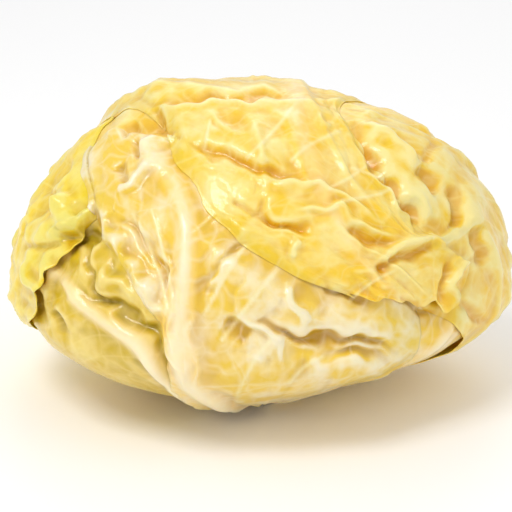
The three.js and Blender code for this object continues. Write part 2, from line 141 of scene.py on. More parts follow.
# Each pass: grid stride, rounds, stiffness against bending, share of the growth, height of the noise
WILT_PASSES = (
    (8, 160, 0.16, 1.0, 1.2),
    (4, 60, 0.30, 0.8, 0.1),
    (2, 30, 0.45, 0.6, 0.0),
    (1, 8, 0.60, 0.4, 0.0),
)

# The front sketch that folds and veins are drawn on, 512 units across
SKETCH_UNIT = 240.0 / 508.0
SKETCH_CENTRE = (257.0, 256.0)
VIEW_HEIGHT = 62.0
VIEW_ELEVATION = 20.0
VIEW_DISTANCE = 800.0
FRAME_WIDTH = 512
SENSOR_WIDTH = 36.0
LIT_POINT = np.array([0.0, 0.0, 0.06])  # metres, where the lamps aim


def direction(azimuth, elevation):
    """Azimuth 0 is the viewer's side and 90 the viewer's right, elevation is above the widest level."""
    level = math.cos(math.radians(elevation))
    return np.array([
        math.sin(math.radians(azimuth)) * level,
        -math.cos(math.radians(azimuth)) * level,
        math.sin(math.radians(elevation)),
    ])


VIEW_FORWARD = -direction(0, VIEW_ELEVATION)
VIEW_UP = np.array([0.0, -VIEW_FORWARD[2], VIEW_FORWARD[1]])
VIEW_POINT = np.array([0.0, 0.0, VIEW_HEIGHT]) - VIEW_FORWARD * VIEW_DISTANCE

# Bulges of the plain head: direction, reach in degrees, lift
LOBES = [
    (direction(92, 14), 36, 6),
    (direction(-100, 58), 26, 6),
    (direction(46, -16), 30, -9),
]

# Leaves from the outermost inwards. A station, from root to tip, gives the rib, the left and the
# right margin as azimuth and elevation, and how far the two margins flare. rib and rib_width are the
# rib's height and width in millimetres, grid the rows and columns of the mesh, and dense_from the share
# of the length from which its rows lie close. wrinkled scales a leaf's ridges and growth, frill is the
# extra growth at its margin, and rib_tint and fan are the ivory on the rib and on the skin beside it.
LEAVES = {
    "leaf_top": dict(
        slot="golden_leaf", rib=3, rib_width=7, grid=(280, 176), dense_from=0.5,
        stations=[
            ((-12, -60), (4, -57), (-30, -57), 0, 0),
            ((170, -78), (90, -64), (-110, -64), 0, 0),
            ((168, -30), (128, -32), (-146, -32), 0, 0),
            ((168, 8), (128, 2), (-128, 6), 0, 0),
            ((165, 46), (122, 44), (-104, 42), 0, 0),
            ((60, 78), (70, 66), (-72, 60), 0, 0),
            ((24, 56), (50, 40), (-30, 50), 0, 0),
            ((22, 38), (52, 27), (-12, 37), 0, 0),
            ((32, 23), (61, 15), (8, 25), 1, 0),
            ((40, 12), (54, 6), (26, 16), 2, 1),
        ],
    ),
    "leaf_front": dict(
        slot="pale_leaf", rib=5, rib_width=6.5, grid=(240, 192), dense_from=0.0,
        wrinkled=0.55, rib_tint=1.0, fan=0.42,
        stations=[
            ((-11, -37), (-25, -42), (3, -42), 0, 0),
            ((-13, -22), (-22, -24), (14, -33), 0, 0),
            ((-16, -6), (-22, -8), (28, -25), 0, 0),
            ((-18, 8), (-23, 6), (42, -16), 0, 1),
            ((-20, 22), (-34, 19), (46, 0), 0, 0),
            ((-24, 38), (-54, 32), (44, 26), 0, 0),
            ((-38, 50), (-76, 42), (10, 46), 0, 0),
            ((-56, 56), (-80, 52), (-36, 58), 0, 0),
        ],
    ),
    "leaf_outer_left": dict(
        slot="yellow_leaf", rib=3, rib_width=7, grid=(216, 120), dense_from=0.2, frill=0.4,
        stations=[
            ((-30, -52), (-34, -58), (-30, -45), 0, 0),
            ((-80, -54), (-120, -64), (-64, -44), 0, 0),
            ((-104, -20), (-150, -28), (-84, -16), 0, 0),
            ((-110, 2), (-156, -2), (-64, 4), 0, 1),
            ((-112, 18), (-158, 16), (-57, 20), 0, 2),
            ((-114, 34), (-156, 36), (-56, 34), 0, 3),
            ((-118, 48), (-150, 54), (-76, 43), 0, 1),
            ((-122, 60), (-138, 66), (-104, 54), 0, 0),
        ],
    ),
    "leaf_left": dict(
        slot="olive_leaf", rib=5, rib_width=6, grid=(176, 128), dense_from=0.0,
        wrinkled=0.6, rib_tint=1.0, fan=0.3,
        stations=[
            ((-25, -42), (-30, -49), (-20, -37), 0, 0),
            ((-22, -19), (-42, -38), (-17, -12), 0, 0),
            ((-25, 0), (-52, -28), (-18, 8), 0, 0),
            ((-36, 8), (-60, -18), (-24, 22), 0, 0),
            ((-49, 11), (-70, -12), (-36, 32), 0, 0),
            ((-63, 14), (-84, -2), (-56, 38), 0, 0),
            ((-84, 20), (-94, 8), (-78, 36), 0, 0),
        ],
    ),
    "leaf_right": dict(
        slot="golden_leaf", rib=3, rib_width=7, grid=(208, 152), dense_from=0.2, frill=0.2,
        stations=[
            ((5, -53), (5, -45), (2, -60), 0, 0),
            ((84, -55), (46, -38), (130, -60), 0, 0),
            ((106, -14), (70, -11), (150, -26), 1, 0),
            ((108, 14), (46, 12), (158, 6), 0, 0),
            ((104, 40), (36, 42), (160, 36), 0, 0),
            ((92, 62), (30, 62), (150, 62), 0, 0),
            ((60, 76), (38, 74), (100, 78), 0, 0),
        ],
    ),
    "leaf_lower_right": dict(
        slot="pale_leaf", rib=3, rib_width=7, grid=(120, 88), dense_from=0.0,
        stations=[
            ((1, -44), (-2, -38), (5, -50), 0, 0),
            ((30, -30), (20, -12), (44, -50), 0, 0),
            ((48, -8), (36, 14), (66, -24), 0, 2),
            ((60, 8), (46, 22), (78, -6), 0, 0),
            ((72, 20), (62, 28), (82, 12), 0, 0),
        ],
    ),
    "leaf_crown": dict(
        slot="golden_leaf", rib=3, rib_width=7, grid=(160, 96), dense_from=0.2,
        stations=[
            ((-34, -50), (-44, -57), (-28, -43), 0, 0),
            ((-112, -46), (-160, -54), (-76, -38), 0, 0),
            ((-118, -2), (-172, -4), (-70, 0), 0, 0),
            ((-116, 34), (-178, 36), (-58, 26), 0, 0),
            ((-104, 62), (178, 66), (-40, 44), 0, 0),
            ((-10, 80), (110, 70), (-22, 56), 0, 0),
            ((28, 66), (50, 66), (4, 62), 0, 0),
        ],
    ),
}
ORDER = list(LEAVES)

# Folds drawn on the front sketch: the line along the fold, its half width and its lift. The skin
# beside a fold swells a little the other way on the left of its line's direction.
FOLDS = [
    # the front leaf
    ([(203, 286), (222, 290)], 6, -1.5),
    ([(222, 322), (240, 330), (250, 338)], 9, -3.5),
    ([(240, 317), (256, 326), (268, 334), (280, 348), (284, 362)], 4, 2.2),
    ([(262, 322), (290, 334), (320, 341), (352, 337), (395, 349)], 5, -4.5),
    ([(330, 349), (360, 352), (392, 358)], 4, -2.5),
    ([(286, 285), (296, 308), (306, 326)], 5, 2.0),
    ([(300, 362), (340, 366), (390, 362)], 12, 3.0),
    ([(205, 388), (220, 396), (233, 402)], 4, -1.6),
    ([(248, 238), (222, 260), (204, 280), (197, 298)], 4, -1.6),
    ([(252, 368), (262, 352), (282, 336)], 5, 1.2),
    ([(150, 214), (163, 250), (171, 290), (174, 330), (186, 376)], 3, 0.9),
    ([(134, 214), (148, 246), (160, 276), (167, 308), (178, 362)], 3, 0.9),
    ([(160, 300), (166, 330), (176, 360), (192, 388)], 2.5, 0.8),
    ([(190, 300), (190, 340), (198, 372), (212, 396)], 3, 0.9),
    # the top leaf
    ([(353, 130), (369, 150), (385, 173), (402, 192), (420, 228)], 5, -6.0),
    ([(184, 138), (200, 148), (240, 160), (262, 170), (300, 180)], 5, -3.5),
    ([(258, 178), (300, 186), (335, 192), (365, 213), (392, 224)], 6, 2.8),
    ([(255, 213), (285, 225), (315, 230)], 4, -3.5),
    ([(296, 214), (330, 208), (360, 225), (392, 238)], 4, 2.2),
    ([(345, 222), (372, 243), (400, 240)], 5, -2.8),
    ([(300, 237), (294, 246), (297, 258)], 4, 2.0),
    ([(230, 192), (254, 212), (268, 200)], 4, -1.6),
    ([(380, 262), (400, 243), (424, 240), (456, 237)], 5, 3.2),
    ([(378, 274), (404, 256), (432, 250)], 5, -3.0),
    ([(200, 112), (215, 114), (224, 123), (231, 134)], 4, 1.4),
    ([(310, 113), (322, 124), (338, 130)], 4, 1.6),
    ([(350, 270), (372, 276), (386, 290)], 6, 1.6),
    ([(318, 284), (340, 292), (372, 297)], 5, -2.0),
    # the rim of the crown
    ([(138, 99), (160, 103), (196, 98), (250, 97), (302, 98)], 4, -2.6),
    ([(150, 112), (196, 106), (250, 104), (304, 107), (354, 123)], 5, 1.8),
    ([(157, 106), (157, 130)], 4, -2.6),
    # the upper left
    ([(150, 160), (140, 175), (128, 186), (120, 196)], 5, 2.2),
    ([(138, 148), (156, 140), (182, 133)], 5, 2.0),
    ([(131, 138), (137, 150), (142, 160)], 4, -2.6),
    ([(116, 131), (140, 120)], 6, -3.0),
    ([(118, 164), (126, 184)], 7, -3.0),
    ([(120, 213), (134, 228), (148, 246), (160, 270), (166, 296)], 5, -2.6),
    ([(97, 196), (106, 232), (126, 262), (150, 292), (166, 325)], 6, 2.4),
    # the left leaf
    ([(84, 294), (112, 307), (140, 322), (160, 342)], 6, -4.0),
    ([(152, 337), (162, 352), (178, 378)], 4, -2.4),
    ([(136, 356), (152, 376), (170, 392)], 5, -2.0),
    ([(76, 237), (86, 260), (94, 286), (110, 304)], 4, -2.6),
    ([(90, 300), (115, 314), (130, 323)], 2.5, 1.6),
    ([(98, 268), (125, 284), (150, 306)], 10, 2.6),
    ([(60, 240), (78, 236), (92, 224)], 9, -6.0),
    ([(52, 306), (58, 318), (66, 336)], 5, -3.0),
    # the outer left leaf
    ([(72, 157), (60, 176), (53, 194), (54, 218)], 4, -3.0),
    ([(72, 192), (64, 204), (58, 220)], 4, 2.6),
    ([(88, 204), (80, 221), (64, 232), (46, 246)], 4, 3.4),
    ([(30, 222), (40, 212), (52, 190)], 5, -2.6),
    ([(30, 262), (36, 280), (46, 296)], 5, 2.6),
    ([(20, 276), (24, 296), (34, 318)], 4, -2.2),
    ([(52, 250), (50, 276), (42, 304)], 4, 2.2),
    ([(25, 244), (42, 246), (60, 240)], 5, -2.6),
    ([(14, 262), (30, 290), (40, 320)], 5, -2.0),
    # the right leaf
    ([(362, 126), (385, 140), (402, 149), (411, 166)], 5, 3.0),
    ([(406, 186), (417, 200), (431, 220)], 5, 2.4),
    ([(413, 168), (430, 180), (442, 188)], 8, -4.5),
    ([(420, 163), (430, 153), (437, 144)], 4, -2.0),
    ([(450, 185), (457, 204), (456, 232)], 5, -4.0),
    ([(474, 224), (480, 246), (478, 268)], 5, -3.4),
    ([(440, 262), (447, 276), (440, 304)], 5, -2.6),
    ([(460, 266), (452, 288), (446, 306)], 4, 1.8),
    ([(398, 296), (418, 306), (436, 318)], 4, -2.0),
    ([(440, 243), (456, 235), (466, 221), (471, 212)], 4, 2.4),
    ([(474, 252), (462, 268), (450, 282), (447, 302)], 4, 2.0),
    ([(462, 300), (474, 314), (490, 322)], 5, -2.4),
]

# Pale veins drawn on the front sketch, with their half width
VEINS = [
    ([(207, 310), (222, 281), (241, 252), (252, 238)], 2.2),
    ([(222, 340), (240, 316), (262, 288), (284, 263)], 2.4),
    ([(237, 395), (252, 365), (268, 344), (282, 334)], 2.4),
    ([(290, 382), (305, 366), (328, 354)], 2.2),
    ([(193, 232), (205, 222), (217, 211)], 1.6),
    ([(247, 158), (275, 130), (300, 98)], 2.2),
    ([(292, 160), (310, 145), (348, 128)], 2.2),
    ([(330, 188), (352, 176), (378, 158)], 2.0),
    ([(342, 201), (380, 194), (398, 184)], 2.0),
    ([(205, 148), (208, 130), (211, 116)], 1.8),
    ([(286, 284), (297, 310), (308, 330)], 2.2),
    ([(133, 214), (146, 240), (156, 264), (164, 290), (168, 330)], 2.2),
    ([(152, 210), (160, 240), (168, 270), (174, 300)], 1.8),
    ([(350, 300), (372, 282), (400, 268)], 1.8),
    ([(352, 168), (382, 180), (404, 200)], 1.6),
]

# Colours of the leaves and their wet skin
VEIN_IVORY = (0.96, 0.84, 0.50, 1)
RIB_IVORY = (0.97, 0.83, 0.56, 1)
RIB_STRENGTH = 0.6  # strength of the ivory on a rib that is given none of its own
WET_SKIN = dict(
    Roughness=0.34,
    IOR=1.4,
    Subsurface_Weight=0.5,
    Subsurface_Radius=(1.0, 0.8, 0.35),
    Subsurface_Scale=0.0015,
    Coat_Weight=0.4,
    Coat_Roughness=0.1,
)
# Per leaf: main colour, a darker colour painted into hollows and dips as painted shade, and a pale
# colour for pale patches and veins that also paints highlight on ridges
GOLD = dict(main=(0.92, 0.58, 0.03), deep=(0.72, 0.36, 0.005), pale=(0.96, 0.78, 0.33))
PALE = dict(main=(0.88, 0.58, 0.06), deep=(0.58, 0.33, 0.02), pale=(0.96, 0.82, 0.58))
YELLOW = dict(main=(0.92, 0.62, 0.01), deep=(0.68, 0.42, 0.003), pale=(0.95, 0.76, 0.18))
OLIVE = dict(main=(0.72, 0.49, 0.02), deep=(0.40, 0.27, 0.005), pale=(0.92, 0.72, 0.26))
LEAF_COLOURS = {
    "leaf_top": GOLD,
    "leaf_front": PALE,
    "leaf_outer_left": YELLOW,
    "leaf_left": OLIVE,
    "leaf_right": GOLD,
    "leaf_lower_right": PALE,
    "leaf_crown": GOLD,
}

# Textures over the skin, as scale and detail
CLOUD = (55.0, 3.0)
SPECKLE = (260.0, 3.0)
GRAIN = (420.0, 4.0)
NET_STIR = (40.0, 2.0)
NET_SCALE = 75.0
NET_SHIFT = 0.03
BUMP_STRENGTH = 0.35
BUMP_DEPTH = 0.0006  # metres

# Range of a texture or a mark over which a colour comes in, and its strength at the range's two ends
CLOUD_TINT = (0.44, 0.64, 0.0, 0.75)
SPECKLE_TINT = (0.45, 0.75, 0.0, 0.35)
# Painted highlight: the pale colour on ridges, where the hollow mark is negative
RIDGE_TINT = (-0.1, -0.8, 0.0, 0.85)
# Painted shade: the darker colour in wide dips and narrow hollows
DIP_TINT = (0.0, 3.5, 0.0, 0.9)
HOLLOW_TINT = (0.05, 0.9, 0.0, 0.6)
NET_TINT = (0.0, 0.14, 0.3, 0.0)
SIDE_VEIN_TINT = (0.2, 1.5, 0.6, 0.0)
VEIN_TINT = (0.1, 1.0, 0.0, 0.45)
RIB_TINT = (0.08, 0.7, 0.0, 0.9)


def smoothstep(low, high, x):
    """0 below low, 1 above high and a soft step between them."""
    t = np.clip((x - low) / (high - low), 0.0, 1.0)
    return t * t * (3.0 - 2.0 * t)


def unit(vectors):
    """The same vectors at length 1."""
    return vectors / np.maximum(np.linalg.norm(vectors, axis=-1, keepdims=True), 1e-12)


def on_sketch(points):
    """Where points of the head lie on the front sketch."""
    offset = points - VIEW_POINT
    scale = VIEW_DISTANCE / (offset @ VIEW_FORWARD) / SKETCH_UNIT
    across = SKETCH_CENTRE[0] + offset[..., 0] * scale
    down = SKETCH_CENTRE[1] - (offset @ VIEW_UP) * scale
    return np.stack([across, down], axis=-1)


def plain_radius(d):
    """Distance from the middle to the plain, uncreased head in each direction."""
    level = np.hypot(d[..., 0] / HALF_WIDTH, d[..., 1] / HALF_DEPTH)
    above = d[..., 2] >= 0
    roundness = np.where(above, CROWN_ROUNDNESS, BELLY_ROUNDNESS)
    upright = np.abs(d[..., 2]) / np.where(above, RISE, BELLY)
    radius = (level ** roundness + upright ** roundness) ** (-1.0 / roundness)
    for towards, reach, lift in LOBES:
        angle = np.degrees(np.arccos(np.clip(d @ towards, -1, 1)))
        radius = radius + lift * np.exp(-((angle / reach) ** 2))
    return radius


def waves(places, size, seed, count=9):
    """A smooth random field of about unit height over points of any dimension."""
    rng = np.random.default_rng(seed)
    total = np.zeros(places.shape[:-1])
    for _ in range(count):
        heading = rng.standard_normal(places.shape[-1])
        heading *= rng.uniform(0.6, 1.5) * 2 * np.pi / size / np.linalg.norm(heading)
        total += np.sin(places @ heading + rng.uniform(0, 2 * np.pi))
    return total * math.sqrt(2 / count)


def rounded(line, steps=4):
    """The same line with its corners rounded off."""
    points = np.array(line, float)
    last = len(points) - 1
    if last < 2:
        return points
    smooth = []
    for i in range(last):
        a, b, c, d = (points[min(last, max(0, i + k))] for k in (-1, 0, 1, 2))
        for n in range(steps):
            f = n / steps
            bend = (c - a) * f + (2 * a - 5 * b + 4 * c - d) * f * f
            smooth.append(b + 0.5 * (bend + (3 * (b - c) + d - a) * f ** 3))
    smooth.append(points[-1])
    return np.array(smooth)


def near_line(place, line):
    """Distance from a line on the sketch, negative on the left of its direction, and the share
    of the line's length at its nearest point."""
    points = rounded(line)
    lengths = np.hypot(*(points[1:] - points[:-1]).T)
    starts = np.concatenate([[0], np.cumsum(lengths)])
    nearest = np.full(place.shape[:-1], np.inf)
    share = np.zeros(place.shape[:-1])
    for n, ((ax, ay), (bx, by)) in enumerate(zip(points, points[1:])):
        dx, dy = bx - ax, by - ay
        x, y = place[..., 0] - ax, place[..., 1] - ay
        t = np.clip((x * dx + y * dy) / (dx * dx + dy * dy), 0, 1)
        gap = np.hypot(x - t * dx, y - t * dy)
        closer = gap < np.abs(nearest)
        nearest = np.where(closer, np.copysign(gap, dx * y - dy * x), nearest)
        share = np.where(closer, (starts[n] + t * lengths[n]) / starts[-1], share)
    return nearest, share


def fold_profile(gap, reach, share):
    """Height across a fold of unit lift. A crease's skin swells softly on the left of its line,
    weak ripples run beside it, and it dies away towards both ends."""
    x = gap / reach
    crest = 1 / (1 + x * x + 0.6 * x ** 4)
    ripple = RIPPLE * np.cos(2.6 * x) * np.exp(-((x / 2.4) ** 2))
    beside = np.maximum(-x / 2.5, 0)
    swell = LIP * beside * np.exp((1 - beside * beside) / 2)
    ends = smoothstep(0, 0.22, share) * smoothstep(0, 0.22, 1 - share)
    return (crest + ripple - swell) * (0.15 + 0.85 * ends)


def sketch_places(d):
    """Sketch places of directions, slightly stirred so that no drawn line stays straight."""
    place = on_sketch(MIDDLE + d * plain_radius(d)[..., None])
    stir = np.stack([waves(place, 34, 1), waves(place, 34, 2)], axis=-1)
    return place + SKETCH_STIR * stir


def toward_viewer(d):
    """1 where the head faces the sketch and its drawn folds and veins show, 0 behind."""
    return smoothstep(*FRONT_FADE, -(d @ VIEW_FORWARD))


def fold_lift(d):
    """How far folds lift the surface: the drawn ones on the front, and waves elsewhere."""
    place = sketch_places(d)
    facing = toward_viewer(d)
    sketched = np.zeros(d.shape[:-1])
    for line, reach, lift in FOLDS:
        gap, share = near_line(place, line)
        sketched += FOLD_DEPTH * lift * fold_profile(gap, FOLD_WIDTH * reach, share)
    turn = np.arctan2(d[..., 0], -d[..., 1])
    x, y, z = d[..., 0], d[..., 1], d[..., 2]
    warp = 0.9 * np.sin(3.1 * z + 2 * x) + 0.7 * np.sin(4.3 * y - 1.7 * z)
    pleats = np.sin(PLEAT_COUNT * turn + 3 * warp) * (1 - z * z)
    swells = np.sin(7 * z + 4 * x + 2 * warp) * np.sin(6 * y + 5 * x - warp)
    broad = PLEAT_HEIGHT * pleats + SWELL_HEIGHT * swells
    return facing * sketched + (1 - FRONT_CALM * facing) * broad


def along(directions, t):
    """A smooth curve through directions, at t from 0 to 1, for an array of t of any shape."""
    last = len(directions) - 1
    i = np.minimum(last - 1, np.floor(t * last).astype(int))
    f = (t * last - i)[..., None]
    points = [directions[np.clip(i + k, 0, last)] for k in (-1, 0, 1, 2)]
    weights = [
        -f + 2 * f * f - f ** 3,
        2 - 5 * f * f + 3 * f ** 3,
        f + 4 * f * f - 3 * f ** 3,
        -f * f + f ** 3,
    ]
    return unit(sum(p * w / 2 for p, w in zip(points, weights)))


def between(a, b, t):
    """The direction a share t of the way from a to b."""
    angle = np.arccos(np.clip(np.sum(a * b, axis=-1, keepdims=True), -1, 1))
    angle = np.maximum(angle, 1e-5)
    return unit((np.sin((1 - t) * angle) * a + np.sin(t * angle) * b) / np.sin(angle))


def prepare(leaf):
    """Adds to a leaf its curves over the head and its closed margin."""
    stations = leaf["stations"]
    for n, side in enumerate(("rib_line", "left_line", "right_line")):
        leaf[side] = np.array([direction(*s[n]) for s in stations])
    steps = np.linspace(0, 1, MARGIN_STEPS + 1)
    tip = (np.arange(TIP_STEPS)[:, None] + 1) / (TIP_STEPS + 1)
    left, right = leaf["left_line"], leaf["right_line"]
    leaf["margin"] = np.concatenate([
        along(left, steps),
        between(left[-1][None], right[-1][None], tip),
        along(right, steps[::-1]),
        between(right[0][None], left[0][None], tip),
    ])
    leaf["rib_points"] = along(leaf["rib_line"], steps)
    leaf["centre"] = unit(leaf["rib_points"].sum(axis=0))
    leaf["across"] = unit(np.cross(OFF_AXIS, leaf["centre"]))
    leaf["upright"] = np.cross(leaf["centre"], leaf["across"])
    leaf["outline"] = flatten(leaf, leaf["margin"])


def flatten(leaf, d):
    """A map of the head round a leaf's centre, on which its margin is a plain closed outline."""
    scale = 1 / (1 + d @ leaf["centre"] + FAR_SIDE)
    return np.stack([(d @ leaf["across"]) * scale, (d @ leaf["upright"]) * scale], axis=-1)


def past_margin(leaf, d):
    """Degrees from a direction to a leaf's margin, negative inside the leaf."""
    flat = flatten(leaf, d)
    x, y = flat[..., 0], flat[..., 1]
    inside = np.zeros(x.shape, bool)
    outline = leaf["outline"]
    for (ax, ay), (bx, by) in zip(outline, np.roll(outline, -1, axis=0)):
        if ay == by:
            continue
        inside ^= ((ay > y) != (by > y)) & (x < ax + (y - ay) / (by - ay) * (bx - ax))
    nearest = np.max(d @ leaf["margin"].T, axis=-1)
    angle = np.degrees(np.arccos(np.clip(nearest, -1, 1)))
    return np.where(inside, -angle, angle)


def cover_of(leaf, d):
    """1 where a leaf covers what lies below it, falling to 0 past its margin."""
    return 1 - smoothstep(COVER_START, COVER_FADE, past_margin(leaf, d))


def rib_lift(leaf, d):
    """The rib stands out of the leaf's back as a rounded, slightly winding band."""
    stir = [waves(d * FIELD_RADIUS, 60, seed, count=5) for seed in (71, 72, 73)]
    d = unit(d + RIB_STIR * np.stack(stir, axis=-1))
    best = np.zeros(d.shape[:-1])
    points = leaf["rib_points"]
    for n, (start, end) in enumerate(zip(points, points[1:])):
        step = end - start
        share = np.clip((d - start) @ step / (step @ step), 0, 1)
        away = np.linalg.norm(d - start - share[..., None] * step, axis=-1) * np.degrees(ARC)
        t = (n + share) / MARGIN_STEPS
        width = leaf["rib_width"] * (1 - RIB_NARROWING * t)
        height = leaf["rib"] * (1 - RIB_LOWERING * t)
        best = np.maximum(best, height * np.exp(-((away / width) ** 2)))
    return best


def coat(k, d):
    """Outer surface of leaf k and all below it: distance from the middle, the lowest height that the
    coats below it leave free, and the number of coats over it."""
    radius = plain_radius(d) + fold_lift(d)
    coats = sum((cover_of(LEAVES[n], d) for n in ORDER[:k]), np.zeros(d.shape[:-1]))
    for n in ORDER[k:]:
        radius = radius + rib_lift(LEAVES[n], d)
    return radius - coats * LEAF_PITCH, coats * LEAF_PITCH, coats


def depth_below(k, d):
    """How far the face of the next leaf down lies below leaf k's own face, in millimetres."""
    coats = cover_of(LEAVES[ORDER[k]], d)
    depth = np.zeros(d.shape[:-1])
    reached = np.zeros(d.shape[:-1], bool)
    for name in ORDER[k + 1:]:
        past = past_margin(LEAVES[name], d)
        arrives = (past < 0) & ~reached
        depth = np.where(arrives, coats, depth)
        reached |= arrives
        coats = coats + 1 - smoothstep(COVER_START, COVER_FADE, past)
    return LEAF_PITCH * np.where(reached, depth, coats)


def grid_smooth(field):
    """Mean of each grid point's four neighbours."""
    padded = np.pad(field, ((1, 1), (1, 1), (0, 0)), mode="edge")
    around = padded[:-2, 1:-1] + padded[2:, 1:-1] + padded[1:-1, :-2] + padded[1:-1, 2:]
    return around / 4


def grid_noise(rng, shape, cells):
    """Smooth random field of about unit height, with the given number of cells each way."""
    coarse = rng.standard_normal((cells[0] + 3, cells[1] + 3))
    rows = np.linspace(1, cells[0] + 1, shape[0])
    columns = np.linspace(1, cells[1] + 1, shape[1])
    return spline(spline(coarse, rows).T, columns).T


def spline(values, places):
    """A smooth curve through rows of values, read at places between them."""
    i = np.clip(np.floor(places).astype(int), 1, len(values) - 3)
    f = (places - i)[:, None]
    a, b, c, d = (values[i + k] for k in (-1, 0, 1, 2))
    cubic = 0.5 * (c - a) * f + (a - 2.5 * b + 2 * c - 0.5 * d) * f * f
    return b + cubic + 0.5 * (3 * (b - c) + d - a) * f ** 3


def pair_slices(di, dj, half, rows, columns):
    """Grid points joined by one step of skin, every second pair of them, so that none is in two."""
    if not di:
        every = slice(0, rows)
        return (every, slice(half, columns - 1, 2)), (every, slice(half + 1, columns, 2))
    right, left = max(dj, 0), max(-dj, 0)
    first = slice(half, rows - 1, 2), slice(left, columns - right)
    second = slice(half + 1, rows, 2), slice(right, columns - left)
    return first, second


def relax(points, rest, outward, growth, free, low, high, rounds, stiffness):
    """Lets the skin find its folds, where rest is the smooth leaf that it lies on."""
    skins = []
    for di, dj in ((0, 1), (1, 0), (1, 1), (1, -1)):
        for half in (0, 1):
            first, second = pair_slices(di, dj, half, *rest.shape[:2])
            grow = 0.5 * (growth[first] + growth[second]) * GROWTH_SHARES[di, dj]
            length = np.linalg.norm(rest[first] - rest[second], axis=-1) * (1 + grow)
            skins.append((first, second, length[..., None]))
    free = free[..., None]
    for _ in range(rounds):
        shift = points - rest
        shift += stiffness * (grid_smooth(shift) - shift)
        points = rest + shift * free
        for first, second, length in skins:
            apart = points[first] - points[second]
            span = np.maximum(np.linalg.norm(apart, axis=-1, keepdims=True), 1e-6)
            push = 0.5 * apart * (length / span - 1) * PULL
            points[first] += push
            points[second] -= push
        shift = points - rest
        height = np.sum(shift * outward, axis=-1)
        held = np.clip(height, low, high)
        shift = shift * DAMPING + outward * (held - height)[..., None]
        points = rest + shift * free
    return points


def finer(shift):
    """The same grid of shifts with twice as many steps each way."""
    rows, columns, depth = shift.shape
    tall = np.empty((2 * rows - 1, columns, depth))
    tall[::2] = shift
    tall[1::2] = (shift[1:] + shift[:-1]) / 2
    wide = np.empty((2 * rows - 1, 2 * columns - 1, depth))
    wide[:, ::2] = tall
    wide[:, 1::2] = (tall[:, 1:] + tall[:, :-1]) / 2
    return wide


def wilt(rest, outward, growth, free, low, high, seed):
    """Wilts a leaf from a coarse grid to its full one. It has more skin than its place allows, so
    that it buckles into wrinkles."""
    rng = np.random.default_rng(seed)
    shift = None
    for stride, rounds, stiffness, share, height in WILT_PASSES:
        part = (slice(None, None, stride), slice(None, None, stride))
        shape = rest[part].shape[:2]
        cells = (max(4, shape[0] // 5), max(4, shape[1] // 5))
        bumps = outward[part] * grid_noise(rng, shape, cells)[..., None] * height
        shift = bumps if shift is None else finer(shift) + bumps
        points = relax(
            rest[part] + shift * free[part][..., None], rest[part], outward[part],
            growth[part] * share, free[part], low[part], high[part], rounds, stiffness,
        )
        shift = points - rest[part]
    return rest + shift


def crests(places, size, seed, width):
    """Thin winding ridges of unit height."""
    return np.exp(-((waves(places, size, seed) / width) ** 2))


def leaf_length(leaf):
    """Length of a leaf's rib in millimetres."""
    steps = np.sum(leaf["rib_points"][1:] * leaf["rib_points"][:-1], axis=-1)
    return ARC * np.degrees(np.arccos(np.clip(steps, -1, 1))).sum()


def ridges(kinds, drawn, even, seed):
    """Ridges of several kinds together, over places drawn out along the leaf or evenly spread."""
    places = {"drawn": drawn, "even": even}
    return sum(
        height * crests(places[spread], size, seed + number, width)
        for number, spread, height, size, width in kinds
    )


def leaf_relief(leaf, t, over, d, seed):
    """Ridges and puckers of the leaf's own, drawn out along its length, in millimetres. They are
    broad where drawn folds add to them and closer together elsewhere."""
    run = t[:, None] * leaf_length(leaf) + 0 * over
    drawn = np.stack([run / STRETCH, over], axis=-1)
    even = d * FIELD_RADIUS
    strength = np.clip(0.7 + 0.4 * waves(even, 70, seed + 1), 0.05, 1.4)
    broad = ridges(BROAD_RIDGES, drawn, even, seed)
    close = ridges(CLOSE_RIDGES, drawn, even, seed) * (1 - toward_viewer(d))
    return (broad + close) * strength * leaf.get("wrinkled", 1.0)


def side_veins(leaf, t, v, over, d, seed):
    """Millimetres along the rib at which the side vein through each point would branch off it,
    and how strongly side veins show there. They are faint where veins are drawn."""
    branch = t[:, None] * leaf_length(leaf) - VEIN_SLANT * np.abs(over)
    branch = branch + VEIN_WAVER * waves(d * FIELD_RADIUS, 40, seed)
    branch = branch + np.where(over < 0, VEIN_SPACING / 2, 0)
    fading = (1 - smoothstep(*VEIN_FADE, np.abs(v))) * (1 - FRONT_VEIN_CALM * toward_viewer(d))
    return branch, fading


def placed(d, radius, floor):
    """Points at distances from the middle, held up by the surface below."""
    points = MIDDLE + d * radius[..., None]
    points[..., 2] = np.maximum(points[..., 2], floor)
    return points


def leaf_grid(leaf, seed):
    """Grid of directions over a leaf, with a margin that wavers by a few millimetres. t runs from
    root to tip, v from margin to margin, and over is the distance from the rib in millimetres."""
    rows, columns = leaf["grid"]
    s = np.linspace(0, 1, rows + 1)
    start = leaf["dense_from"]
    lead = LEAD if start else 0.0
    coarse = s / max(lead, 1e-9) * start
    dense = start + (s - lead) / (1 - lead) * (1 - start)
    t = np.where(s < lead, coarse, dense)
    v = np.linspace(-1, 1, columns + 1)
    side = np.sign(v) + 0 * t[:, None]
    ends = TIP_WAVER * waves(np.stack([v * 40, v * 0], axis=-1), 18, seed + 50) - TIP_LOSS
    ragged = t[:, None] * (1 + ends * t[:, None] ** 2)
    rib = along(leaf["rib_line"], ragged)
    left = along(leaf["left_line"], ragged)
    right = along(leaf["right_line"], ragged)
    margin = np.where(side[..., None] < 0, left, right)
    width = np.degrees(np.arccos(np.clip(np.sum(rib * margin, axis=-1), -1, 1))) * ARC
    run = np.stack([ragged * 300, side * 50], axis=-1)
    waver = WAVER * waves(run, 30, seed + 60) + FINE_WAVER * waves(run, 9, seed + 61)
    reach = np.abs(v) * (1 + waver * np.abs(v) ** 3 / np.maximum(width, NARROWEST))
    over = side * width * np.abs(v)
    return t, v, over, between(rib, margin, reach[..., None])


